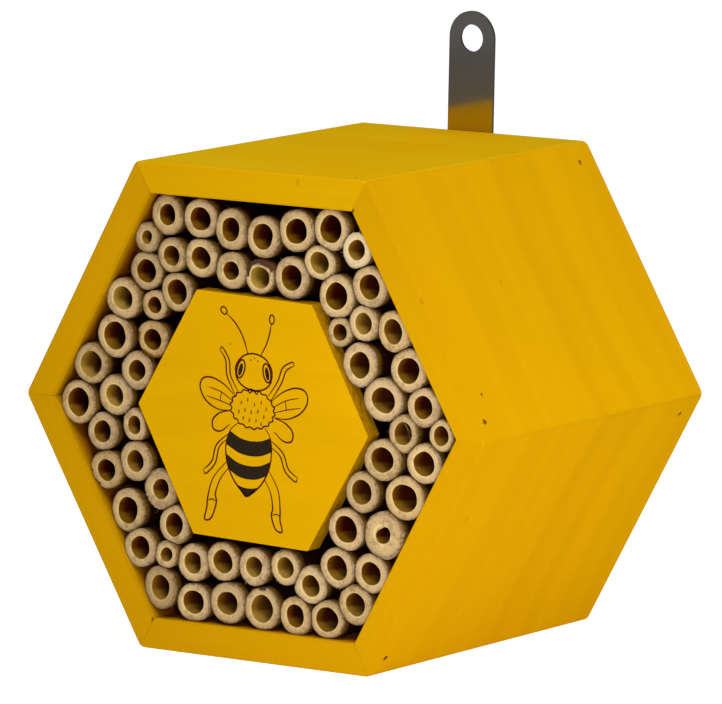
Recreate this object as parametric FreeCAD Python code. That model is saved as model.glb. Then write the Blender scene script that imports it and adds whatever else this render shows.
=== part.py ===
import FreeCAD, Part
import math
import os

# A hexagonal insect hotel: six mitred boards round a bundle of bamboo canes, with a hexagonal plate
# in the middle of the front and a steel strap at the back to hang it by.
# Millimetres. X runs across, Y from the front to the back, Z up. The part stands on z = 0, and y = 0
# is half way between the front of the frame and the back of the strap.

# ---- driving dimensions ----
SIDE = 90.0                     # one side of the hexagon, outside
DEPTH = 120.0                   # length of the boards, front to back
BOARD = 10.0                    # board thickness
CORNER_RADIUS = 3.0             # the long outer corners of the frame
EDGE_RADIUS = 0.8               # the outer rims, front and back
INNER_CHAMFER = 0.5             # the inner rim, front

PANEL_THICK = 8.0               # back panel, let in between the boards

PLATE_RADIUS = 45.0             # centre plate, centre to corner
PLATE_THICK = 6.0
PLATE_RECESS = 0.5              # behind the front of the frame
PLATE_DROP = 0.85               # the plate sits a little low
PLATE_TURN = 1.65               # and a little crooked, degrees clockwise seen from the front
PLATE_CORNER = 0.8
POST_WIDTH = 42.0               # square post between the panel and the plate

STRAP_WIDTH = 17.6
STRAP_THICK = 1.0
STRAP_ACROSS = -1.2             # the strap is fixed a little to the left, where it leaves the frame
STRAP_LEAN = 1.8                # and leans a little to the right, degrees clockwise seen from the front
STRAP_TOP = 117.0               # above the middle of the hexagon
STRAP_BOTTOM = 48.0
HANGING_HOLE = 8.8              # diameter, concentric with the round top

SCREW_SHANK = 3.0
SCREW_HEAD = 6.0
SCREW_LENGTH = 8.0
SCREW_HEIGHTS = (73.0, 57.0)    # one in the top board, one in the panel, above the middle
POST_SCREW_LENGTH = 26.0
POST_SCREW_SPREAD = 24.0
RECESS_WIDTH = 0.8              # the cross in a screw's head
RECESS_SPAN = 3.2
RECESS_DEPTH = 0.9

BRAD_DIAMETER = 1.2
BRAD_LENGTH = 20.0
BRAD_SINK = 0.6                 # head below the surface
BRAD_SETBACK = 7.0              # from the corner, along the board it is driven through
BRAD_FROM_FRONT = 4.3           # one brad in each board is near the front of the frame
BRAD_FROM_BACK = 9.0            # and one near the back

CANE_NODE = 5.0                 # wall that closes each cane near its back end
CANE_CLEARANCE = 0.1            # least gap between a cane and its neighbours
CANE_END_GAP = 0.3              # between a cane and the back panel
SINGLE_CANES = 30               # canes with a node of their own; the rest go two to a node

# ---- derived ----
APOTHEM = SIDE * math.cos(math.radians(30))
INNER_APOTHEM = APOTHEM - BOARD
INNER_RADIUS = INNER_APOTHEM / math.cos(math.radians(30))
FRONT = -(DEPTH + STRAP_THICK) / 2
BACK = FRONT + DEPTH
PANEL_FRONT = BACK - PANEL_THICK
PLATE_FRONT = FRONT + PLATE_RECESS
MIDDLE = FreeCAD.Vector(0, 0, APOTHEM)
DEPTHWISE = FreeCAD.Vector(0, 1, 0)

# The boards, each with the direction its outer face looks in, in degrees from +X towards +Z.
BOARDS = {
    "board_top": 90,
    "board_upper_right": 30,
    "board_lower_right": -30,
    "board_bottom": -90,
    "board_lower_left": -150,
    "board_upper_left": 150,
}

# The canes: (across, up) of the axis from the middle of the hexagon, outer diameter, bore, and how
# far the cut end lies behind the front of the frame. Both rings run clockwise from the top left.
# settle() then moves each one the last fraction of a millimetre to where it just clears the rest.
OUTER_RING = [
    (-35.0, 61.0, 12.0, 6.5, 3.0), (-21.0, 61.0, 12.2, 7.7, 2.0), (-9.0, 58.5, 12.2, 7.2, 2.0),
    (3.5, 57.0, 12.4, 8.0, 2.0), (16.5, 60.0, 13.0, 8.1, 2.0), (30.0, 61.5, 12.8, 8.5, 2.0),
    (40.0, 56.0, 10.4, 6.4, 1.5), (44.5, 44.5, 12.6, 7.8, 2.0), (53.5, 31.5, 12.0, 7.3, 2.5),
    (59.0, 19.5, 13.2, 8.3, 2.5), (65.0, 8.5, 11.8, 7.1, 2.0), (71.5, 0.5, 9.0, 5.9, 2.0),
    (65.0, -9.0, 12.2, 7.8, 2.0), (57.5, -20.5, 13.8, 9.1, 2.0), (49.5, -33.0, 14.6, 5.6, 2.0),
    (44.5, -45.5, 12.0, 7.4, 2.0), (38.5, -56.0, 12.2, 7.3, 2.0), (27.5, -62.0, 12.0, 8.2, 2.0),
    (15.0, -62.5, 11.6, 7.1, 2.0), (2.0, -61.0, 13.0, 8.5, 2.0), (-11.5, -60.5, 13.0, 7.7, 2.0),
    (-25.0, -62.0, 12.2, 7.8, 2.0), (-37.5, -58.0, 12.6, 7.5, 1.0), (-45.0, -46.0, 11.8, 7.3, 0.5),
    (-50.5, -34.5, 12.8, 8.1, 1.5), (-59.0, -22.5, 11.8, 7.0, 1.0), (-61.0, -10.0, 11.6, 7.0, 2.0),
    (-69.5, -1.5, 13.2, 8.8, 1.0), (-64.5, 11.5, 12.5, 8.4, 1.0), (-55.5, 21.0, 13.2, 8.8, 2.0),
    (-51.5, 33.5, 12.6, 7.6, 1.5), (-43.5, 42.5, 12.0, 7.5, 3.0), (-42.5, 53.5, 9.0, 4.2, 2.0),
]
INNER_RING = [
    (-32.5, 48.5, 10.6, 6.4, 2.0), (-21.0, 48.5, 12.0, 7.2, 2.0), (-9.0, 45.5, 11.4, 6.0, 2.0),
    (2.0, 44.5, 10.8, 7.3, 2.0), (14.5, 45.0, 12.6, 8.0, 2.0), (26.0, 50.5, 10.6, 7.0, 2.0),
    (31.5, 41.0, 13.2, 8.5, 2.0), (41.5, 32.5, 10.6, 6.6, 2.0), (33.0, 29.5, 8.8, 5.4, 2.0),
    (41.0, 19.5, 13.0, 8.0, 2.0), (49.5, 9.5, 13.8, 8.5, 2.0), (56.5, 0.0, 10.8, 7.0, 2.0),
    (49.5, -9.0, 13.2, 8.2, 2.0), (41.0, -20.0, 12.3, 7.8, 2.0), (35.0, -32.5, 13.0, 8.5, 2.0),
    (31.5, -45.0, 12.4, 7.8, 2.0), (21.0, -51.5, 11.2, 6.8, 2.0), (11.5, -47.0, 10.8, 6.6, 2.0),
    (-1.0, -48.0, 11.6, 6.5, 2.0), (-13.5, -47.5, 12.0, 7.5, 2.0), (-25.0, -49.0, 11.6, 7.0, 2.0),
    (-35.0, -47.0, 8.2, 4.7, 1.0), (-32.5, -37.5, 11.6, 7.2, 2.0), (-38.0, -26.5, 12.6, 6.4, 2.0),
    (-47.5, -19.0, 12.2, 6.8, 1.5), (-48.0, -7.0, 9.4, 5.6, 2.0), (-55.5, 2.0, 12.4, 6.9, 2.0),
    (-47.0, 10.5, 11.8, 6.8, 2.0), (-41.0, 21.0, 11.5, 6.8, 2.5), (-40.0, 32.0, 9.0, 5.4, 2.5),
    (-30.5, 37.0, 11.8, 7.8, 2.0),
]
# Canes whose natural wall lies near the cut end instead of the back, by ring and place in it.
NEAR_WALLS = {("inner", 3): 12.0, ("outer", 30): 34.0, ("outer", 22): 26.0}


def direction(degrees):
    """A unit vector in the XZ plane, at an angle from +X towards +Z."""
    angle = math.radians(degrees)
    return FreeCAD.Vector(math.cos(angle), 0, math.sin(angle))


def hexagon_prism(radius, y0, y1, centre=MIDDLE, turn=0.0):
    """A hexagonal prism along Y with a flat side on top."""
    points = []
    for k in range(6):
        points.append(centre + direction(60 * k + turn) * radius + DEPTHWISE * y0)
    face = Part.Face(Part.makePolygon(points + points[:1]))
    return face.extrude(DEPTHWISE * (y1 - y0))


def edges_along_y(shape):
    return [e for e in shape.Edges if e.BoundBox.XLength < 1e-6 and e.BoundBox.ZLength < 1e-6]


def edges_at_y(shape, y):
    return [e for e in shape.Edges if abs(e.BoundBox.YMin - y) < 1e-6 and abs(e.BoundBox.YMax - y) < 1e-6]


def frame_ring():
    """The whole frame before it is parted at the mitres."""
    outer = hexagon_prism(SIDE, FRONT, BACK)
    outer = outer.makeFillet(CORNER_RADIUS, edges_along_y(outer))
    outer = outer.makeFillet(EDGE_RADIUS, edges_at_y(outer, FRONT) + edges_at_y(outer, BACK))
    inner = hexagon_prism(INNER_RADIUS, FRONT - 1, BACK + 1)
    flare_radius = INNER_RADIUS + INNER_CHAMFER / math.cos(math.radians(30))
    mouth = Part.makeLoft(
        [
            Part.makePolygon(hexagon_points(flare_radius, FRONT)),
            Part.makePolygon(hexagon_points(INNER_RADIUS, FRONT + INNER_CHAMFER)),
        ],
        True,
        True,
    )
    return outer.cut(inner).cut(mouth)


def hexagon_points(radius, y):
    points = [MIDDLE + direction(60 * k) * radius + DEPTHWISE * y for k in range(6)]
    return points + points[:1]


def sector(facing):
    """The wedge of space from the middle of the hexagon that holds one board."""
    reach = 2 * SIDE
    corners = [MIDDLE, MIDDLE + direction(facing - 30) * reach, MIDDLE + direction(facing + 30) * reach]
    corners = [c + DEPTHWISE * (FRONT - 1) for c in corners]
    return Part.Face(Part.makePolygon(corners + corners[:1])).extrude(DEPTHWISE * (DEPTH + 2))


def brad_line(facing, toward, y):
    """Where a brad enters the face of one board, and the way it runs: along its neighbour's length."""
    corner = MIDDLE + direction(facing + 30 * toward) * SIDE
    along_board = direction(facing + 90 * toward)
    along_neighbour = direction(facing + 150 * toward)
    entry = corner - along_board * BRAD_SETBACK + DEPTHWISE * y
    return entry, along_neighbour


def brad_lines():
    """Each board is nailed at its clockwise end near the front, and at its other end near the back."""
    lines = []
    for facing in BOARDS.values():
        lines.append(brad_line(facing, -1, FRONT + BRAD_FROM_FRONT))
        lines.append(brad_line(facing, 1, BACK - BRAD_FROM_BACK))
    return lines


def brads():
    radius = BRAD_DIAMETER / 2
    return [Part.makeCylinder(radius, BRAD_LENGTH, p + d * BRAD_SINK, d) for p, d in brad_lines()]


def brad_holes():
    radius = BRAD_DIAMETER / 2
    return [Part.makeCylinder(radius, BRAD_LENGTH + BRAD_SINK + 2, p - d * 2, d) for p, d in brad_lines()]


def screw_profile(length):
    """Half the outline of a countersunk screw with its head at the origin, driven along -Z."""
    head, shank = SCREW_HEAD / 2, SCREW_SHANK / 2
    cone = head - shank
    return [(0, 0), (head, 0), (shank, -cone), (shank, -length + shank), (0, -length)]


def screw_body(length, x, y, up):
    """A screw driven forwards, with the flat of its head facing the back at (x, y, middle + up)."""
    outline = [FreeCAD.Vector(r, 0, z) for r, z in screw_profile(length)]
    body = Part.Face(Part.makePolygon(outline + outline[:1])).revolve(
        FreeCAD.Vector(0, 0, 0), FreeCAD.Vector(0, 0, 1), 360
    )
    body.rotate(FreeCAD.Vector(0, 0, 0), FreeCAD.Vector(1, 0, 0), -90)
    body.translate(MIDDLE + FreeCAD.Vector(x, y, up))
    return body


def screw(length, x, y, up):
    """A screw with the cross in its head."""
    body = screw_body(length, x, y, up)
    half_span, half_width = RECESS_SPAN / 2, RECESS_WIDTH / 2
    for half_x, half_z in ((half_span, half_width), (half_width, half_span)):
        low = MIDDLE + FreeCAD.Vector(x - half_x, y - RECESS_DEPTH, up - half_z)
        body = body.cut(Part.makeBox(2 * half_x, 2 * RECESS_DEPTH, 2 * half_z, low))
    return body


def lean(shape):
    """Moves the upright strap, or a screw in it, to where it was fixed: off centre and not quite plumb."""
    fixed = shape.copy()
    fixed.rotate(MIDDLE + FreeCAD.Vector(0, 0, APOTHEM), DEPTHWISE, STRAP_LEAN)
    fixed.translate(FreeCAD.Vector(STRAP_ACROSS, 0, 0))
    return fixed


def strap():
    """The hanging strap: a full round top, a square bottom, and holes that the screws fill."""
    half = STRAP_WIDTH / 2
    low = MIDDLE + FreeCAD.Vector(-half, BACK, STRAP_BOTTOM)
    blade = Part.makeBox(STRAP_WIDTH, STRAP_THICK, STRAP_TOP - half - STRAP_BOTTOM, low)
    eye = MIDDLE + FreeCAD.Vector(0, BACK, STRAP_TOP - half)
    blade = blade.fuse(Part.makeCylinder(half, STRAP_THICK, eye, DEPTHWISE)).removeSplitter()
    blade = blade.cut(Part.makeCylinder(HANGING_HOLE / 2, STRAP_THICK + 2, eye - DEPTHWISE, DEPTHWISE))
    for up in SCREW_HEIGHTS:
        blade = blade.cut(screw_body(SCREW_LENGTH, 0, BACK + STRAP_THICK, up))
    return lean(blade)


def centre_plate():
    centre = MIDDLE - FreeCAD.Vector(0, 0, PLATE_DROP)
    plate = hexagon_prism(PLATE_RADIUS, PLATE_FRONT, PLATE_FRONT + PLATE_THICK, centre, -PLATE_TURN)
    return plate.makeFillet(PLATE_CORNER, edges_along_y(plate))


def centre_post():
    half = POST_WIDTH / 2
    start = PLATE_FRONT + PLATE_THICK
    return Part.makeBox(
        POST_WIDTH, PANEL_FRONT - start, POST_WIDTH, MIDDLE + FreeCAD.Vector(-half, start, -half)
    )


def push_inside(x, z, limit, centre_z, turn, outward):
    """Moves a point until it is within (or, outward, beyond) `limit` of every (any) hexagon side."""
    offsets = []
    for k in range(6):
        way = direction(60 * k + 30 + turn)
        offsets.append((x * way.x + (z - centre_z) * way.z - limit, way))
    if outward:
        lack, way = max(offsets, key=lambda item: item[0])
        if lack < 0:
            return x - lack * way.x, z - lack * way.z
        return x, z
    for excess, way in offsets:
        if excess > 0:
            x, z = x - excess * way.x, z - excess * way.z
    return x, z


def settle(canes):
    """Pushes overlapping canes apart, in off the boards and out off the plate, until all are clear."""
    places = [[c[0], c[1]] for c in canes]
    plate_apothem = PLATE_RADIUS * math.cos(math.radians(30))
    for _ in range(600):
        for i, first in enumerate(canes):
            for j in range(i + 1, len(canes)):
                need = (first[2] + canes[j][2]) / 2 + CANE_CLEARANCE
                dx = places[j][0] - places[i][0]
                dz = places[j][1] - places[i][1]
                gap = math.hypot(dx, dz)
                if gap < need:
                    push = (need - gap) / 2 / gap
                    places[i] = [places[i][0] - dx * push, places[i][1] - dz * push]
                    places[j] = [places[j][0] + dx * push, places[j][1] + dz * push]
        for i, cane in enumerate(canes):
            radius = cane[2] / 2 + CANE_CLEARANCE
            x, z = push_inside(*places[i], plate_apothem + radius, -PLATE_DROP, -PLATE_TURN, True)
            places[i] = list(push_inside(x, z, INNER_APOTHEM - radius, 0, 0, False))
    return places


def cane(place, outer, bore, recess, wall_depth):
    """One length of bamboo: a tube closed by the plant's own wall at `wall_depth` from its mouth."""
    start = FRONT + recess
    end = PANEL_FRONT - CANE_END_GAP
    mouth = MIDDLE + FreeCAD.Vector(place[0], start, place[1])
    stem = Part.makeCylinder(outer / 2, end - start, mouth, DEPTHWISE)
    stem = stem.cut(Part.makeCylinder(bore / 2, wall_depth + 1, mouth - DEPTHWISE, DEPTHWISE))
    behind = wall_depth + CANE_NODE
    if start + behind < end - CANE_NODE:
        stem = stem.cut(Part.makeCylinder(bore / 2, end - start, mouth + DEPTHWISE * behind, DEPTHWISE))
    return stem


def all_canes():
    rings = [("outer", k, c) for k, c in enumerate(OUTER_RING)]
    rings += [("inner", k, c) for k, c in enumerate(INNER_RING)]
    places = settle([c for _, _, c in rings])
    stems = []
    for (ring, k, (_, _, outer, bore, recess)), place in zip(rings, places):
        full = PANEL_FRONT - CANE_END_GAP - FRONT - recess - CANE_NODE
        stems.append(cane(place, outer, bore, recess, NEAR_WALLS.get((ring, k), full)))
    return stems


def build():
    """Every node of the hotel: name to shape."""
    nodes = {}
    ring = frame_ring().cut(brad_holes())
    top_screw = lean(screw_body(SCREW_LENGTH, 0, BACK + STRAP_THICK, SCREW_HEIGHTS[0]))
    panel_screw = lean(screw_body(SCREW_LENGTH, 0, BACK + STRAP_THICK, SCREW_HEIGHTS[1]))
    post_ups = (POST_SCREW_SPREAD / 2, -POST_SCREW_SPREAD / 2)
    post_bodies = [screw_body(POST_SCREW_LENGTH, 0, BACK, up) for up in post_ups]

    for name, facing in BOARDS.items():
        nodes[name] = ring.common(sector(facing)).cut(top_screw)
    panel = hexagon_prism(INNER_RADIUS, PANEL_FRONT, BACK)
    nodes["back_panel"] = panel.cut([panel_screw] + post_bodies)
    nodes["centre_post"] = centre_post().cut(post_bodies)
    nodes["centre_plate"] = centre_plate()
    nodes["hanger_strap"] = strap()
    nodes["hanger_screws"] = Part.makeCompound(
        [lean(screw(SCREW_LENGTH, 0, BACK + STRAP_THICK, up)) for up in SCREW_HEIGHTS]
    )
    nodes["post_screws"] = Part.makeCompound([screw(POST_SCREW_LENGTH, 0, BACK, up) for up in post_ups])
    nodes["frame_brads"] = Part.makeCompound(brads())

    stems = all_canes()
    for k, stem in enumerate(stems[:SINGLE_CANES]):
        nodes[f"cane_{k + 1:02d}"] = stem
    for k in range(SINGLE_CANES, len(stems), 2):
        nodes[f"cane_pair_{k + 1:02d}_{k + 2:02d}"] = Part.makeCompound(stems[k:k + 2])
    return nodes


os.makedirs("parts", exist_ok=True)
for node_name, node_shape in build().items():
    node_shape.exportStep(f"parts/{node_name}.step")
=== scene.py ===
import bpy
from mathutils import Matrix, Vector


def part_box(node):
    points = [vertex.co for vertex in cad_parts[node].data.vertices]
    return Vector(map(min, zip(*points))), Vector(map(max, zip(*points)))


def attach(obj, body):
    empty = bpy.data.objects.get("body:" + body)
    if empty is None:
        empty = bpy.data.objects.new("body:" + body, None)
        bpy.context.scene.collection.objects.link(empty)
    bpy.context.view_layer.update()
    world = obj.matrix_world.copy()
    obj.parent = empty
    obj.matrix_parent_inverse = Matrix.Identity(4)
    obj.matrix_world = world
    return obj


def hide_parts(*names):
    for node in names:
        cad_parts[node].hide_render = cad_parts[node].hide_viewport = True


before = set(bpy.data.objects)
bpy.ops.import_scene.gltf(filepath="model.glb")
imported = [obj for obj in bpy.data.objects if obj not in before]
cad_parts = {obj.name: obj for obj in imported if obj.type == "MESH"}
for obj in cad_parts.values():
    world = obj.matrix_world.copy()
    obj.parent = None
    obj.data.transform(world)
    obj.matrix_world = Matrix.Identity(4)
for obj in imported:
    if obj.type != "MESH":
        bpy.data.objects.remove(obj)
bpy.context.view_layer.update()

import random
from math import atan2, cos, degrees, exp, hypot, pi, radians, sin, tan

import bmesh
import bpy
from mathutils import Matrix, Vector, noise

# A hexagonal insect hotel. Metres; X across, Y from the front to the back, Z up, floor at z = 0.

MM = 0.001
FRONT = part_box("board_top")[0].y
MIDDLE = Vector((0, 0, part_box("board_upper_right")[0].z))
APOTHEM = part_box("board_top")[1].z - MIDDLE.z
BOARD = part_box("board_top")[1].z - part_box("board_top")[0].z
MITRE = tan(radians(30))

# ---- camera ----
CAMERA_LENS = 407.5
CAMERA_TARGET = Vector((-0.00124, -0.00050, 0.09107))
CAMERA_AZIMUTH = 36.263
CAMERA_ELEVATION = 8.596
CAMERA_ROLL = -0.32
CAMERA_DISTANCE = 2.6052


def add_camera():
    data = bpy.data.cameras.new("camera")
    data.lens = CAMERA_LENS
    data.sensor_width = 36
    data.clip_end = 50
    camera = bpy.data.objects.new("camera", data)
    bpy.context.scene.collection.objects.link(camera)
    azimuth, elevation = radians(CAMERA_AZIMUTH), radians(CAMERA_ELEVATION)
    away = Vector((
        sin(azimuth) * cos(elevation),
        -cos(azimuth) * cos(elevation),
        sin(elevation),
    ))
    turn = (-away).to_track_quat("-Z", "Y").to_matrix().to_4x4()
    roll = Matrix.Rotation(radians(CAMERA_ROLL), 4, "Z")
    camera.matrix_world = Matrix.Translation(CAMERA_TARGET + away * CAMERA_DISTANCE) @ turn @ roll
    bpy.context.scene.camera = camera


# ---- shader nodes ----
class Graph:
    """The nodes of one material, each made by one call."""

    def __init__(self, name, earlier=None):
        self.material = earlier or bpy.data.materials.new(name)
        self.material.use_nodes = True
        self.tree = self.material.node_tree
        self.shader = self.tree.nodes["Principled BSDF"]

    def fed(self, name):
        """What feeds a socket of the shader so far."""
        return self.shader.inputs[name].links[0].from_socket

    def feed(self, socket, value):
        if isinstance(value, bpy.types.Node):
            value = value.outputs[0]
        if isinstance(value, bpy.types.NodeSocket):
            self.tree.links.new(value, socket)
        else:
            socket.default_value = value

    def node(self, kind, inputs, **settings):
        made = self.tree.nodes.new("ShaderNode" + kind)
        for key, value in settings.items():
            setattr(made, key, value)
        for key, value in inputs.items():
            self.feed(made.inputs[key], value)
        return made

    def place(self, offset=(0, 0, 0), turn=0.0, scale=(1, 1, 1)):
        """Where a point lies, in metres from offset, turned about the Y axis, then stretched."""
        at = self.node("TexCoord", {}).outputs["Object"]
        at = self.node("VectorMath", {0: at, 1: offset}, operation="SUBTRACT")
        at = self.node("VectorRotate", {0: at, "Angle": turn}, rotation_type="Y_AXIS")
        return self.node("VectorMath", {0: at, 1: scale}, operation="MULTIPLY")

    def stretch(self, at, scale):
        return self.node("VectorMath", {0: at, 1: scale}, operation="MULTIPLY")

    def split(self, at):
        return self.node("SeparateXYZ", {0: at}).outputs

    def maths(self, operation, a, b=0.0, c=0.0):
        return self.node("Math", {0: a, 1: b, 2: c}, operation=operation)

    def times(self, a, b):
        return self.maths("MULTIPLY", a, b)

    def times_plus(self, a, b, c):
        return self.maths("MULTIPLY_ADD", a, b, c)

    def noise(self, at, scale, detail=2.0, roughness=0.5, distortion=0.0):
        values = {0: at, "Scale": scale, "Detail": detail}
        values.update({"Roughness": roughness, "Distortion": distortion})
        return self.node("TexNoise", values).outputs[0]

    def remap(self, value, low, high, to_low=0.0, to_high=1.0, smooth=True):
        kind = "SMOOTHSTEP" if smooth else "LINEAR"
        return self.node("MapRange", {0: value, 1: low, 2: high, 3: to_low, 4: to_high},
                         interpolation_type=kind)

    def ramp(self, value, *stops):
        made = self.node("ValToRGB", {0: value})
        points = made.color_ramp.elements
        for k, (place, colour) in enumerate(stops):
            point = points[k] if k < 2 else points.new(place)
            point.position = place
            point.color = (*colour, 1)
        return made

    def mix(self, share, a, b, blend="MIX"):
        values = {"Factor": share, "A": a, "B": b}
        return self.node("Mix", values, data_type="RGBA", blend_type=blend).outputs["Result"]

    def bump(self, height, distance, strength=1.0, under=None):
        values = {"Height": height, "Distance": distance, "Strength": strength}
        if under is not None:
            values["Normal"] = under
        return self.node("Bump", values)

    def values(self, *names):
        """What each point of the mesh carries under these names."""
        return [self.node("Attribute", {}, attribute_name=name).outputs["Fac"] for name in names]

    def finish(self, **sockets):
        names = {"colour": "Base Color", "rough": "Roughness", "normal": "Normal",
                 "metal": "Metallic", "specular": "Specular IOR Level", "tint": "Specular Tint"}
        for key, value in sockets.items():
            self.feed(self.shader.inputs[names[key]], value)
        return self.material


# ---- painted wood ----
PAINT_LIGHT = (0.640, 0.325, 0.0012, 1)
PAINT_DARK = (0.585, 0.290, 0.0010, 1)
PAINT_OLIVE = (0.585, 0.37, 0.005, 1)
SEAM = (0.25, 0.12, 0.002, 1)
FRONT_TONE = 1.025                          # painted light: the sawn front edges a little lighter

# The boards, clockwise from the top. facing: the way the outer face looks, degrees from +X towards +Z;
# seams: how far the mitre shows at the left and right end, looking at the outer face from the front;
# tone: the paint's red, green and blue against the usual, with painted light and shade for how much light
# each board gets;
# ends: painted light and shade, how light it is at the left and right end; front and rear: painted light, how
# light it is at the sawn front edge and at the back; ink_wear_and_edge_shade: painted shade on the lit outer
# front edge, and lip_shade on the inner one; inner_shade: where the painted shade on the inner face starts
# and ends, mm behind the front; streaks and haze: how strong the grain is, and a greenish veil that is a
# painted reflection of the sky.
BOARDS = {
    "board_top": dict(facing=90, seams=(0.75, 0.12), tone=(1.05, 1.11, 1.0), streaks=0.15, haze=0.9),
    "board_upper_right": dict(facing=30, seams=(0.12, 0.05), tone=(0.948, 0.958, 1.0),
                              ends=(0.945, 1.035), front=1.06, rear=1.10, ink_wear_and_edge_shade=0.37),
    "board_lower_right": dict(facing=-30, seams=(0.05, 0.40), ends=(0.955, 1.01), front=1.04, ink_wear_and_edge_shade=0.22),
    "board_bottom": dict(facing=-90, seams=(0.45, 0.55), ends=(1.0, 0.95)),
    "board_lower_left": dict(facing=-150, seams=(0.55, 0.5), tone=(0.92, 0.93, 1.0),
                             inner_shade=(-0.1, 6.3), lip_shade=0.38),
    "board_upper_left": dict(facing=150, seams=(0.5, 0.75), tone=(0.94, 0.95, 1.0),
                             inner_shade=(-0.1, 5.6), lip_shade=0.36),
}
FACINGS = [board["facing"] for board in BOARDS.values()]
# Small pits and scratches: across, behind the front, above the middle, size (all mm) and strength.
BOARD_MARKS = {
    "board_top": ((18.8, 0, 76.0, 0.45, 0.25), (18.9, 0, 75.1, 0.4, 0.22)),
    "board_upper_right": ((40.0, 0, 68.2, 0.6, 0.8), (82.3, 8.7, 13.3, 0.6, 0.8),
                          (65.3, 43.6, 42.8, 0.8, 0.2), (65.8, 0.6, 42.0, 0.9, 0.25)),
    "board_lower_right": ((74.2, 11.3, -27.3, 0.5, 0.3), (74.7, 11.3, -26.2, 0.5, 0.3)),
    "board_lower_left": ((-39.7, 0, -68.5, 0.6, 0.8),),
}
PLATE_MARKS = ((-8.5, 0.5, 22.5, 0.5, 0.3),)
BRAD_REACH = 3 * MM                         # points of the mesh this close together are one brad
DENT_SIZES = (1.05, 0.8)                    # round the front brads and the back ones
DENT = 0.78
DENT_FILLED = 0.12                          # in the top board, where they are filled and painted over
PIT = (0.060, 0.022, 0.002, 1)
# painted shade, laid over the front edges where their rounding catches the light
PAINT_EDGE_SHADE = (0.28, 0.13, 0.001, 1)
PAINT_INNER_SHADE = (0.26, 0.062, 0.0008, 1)     # painted shade deep in the frame, where the paint is never lit
PAINT_TINT = (1.0, 0.62, 0.04, 1)
PAINT_SATIN = 0.06                          # a yellow sheen, so the highlights stay yellow


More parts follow.
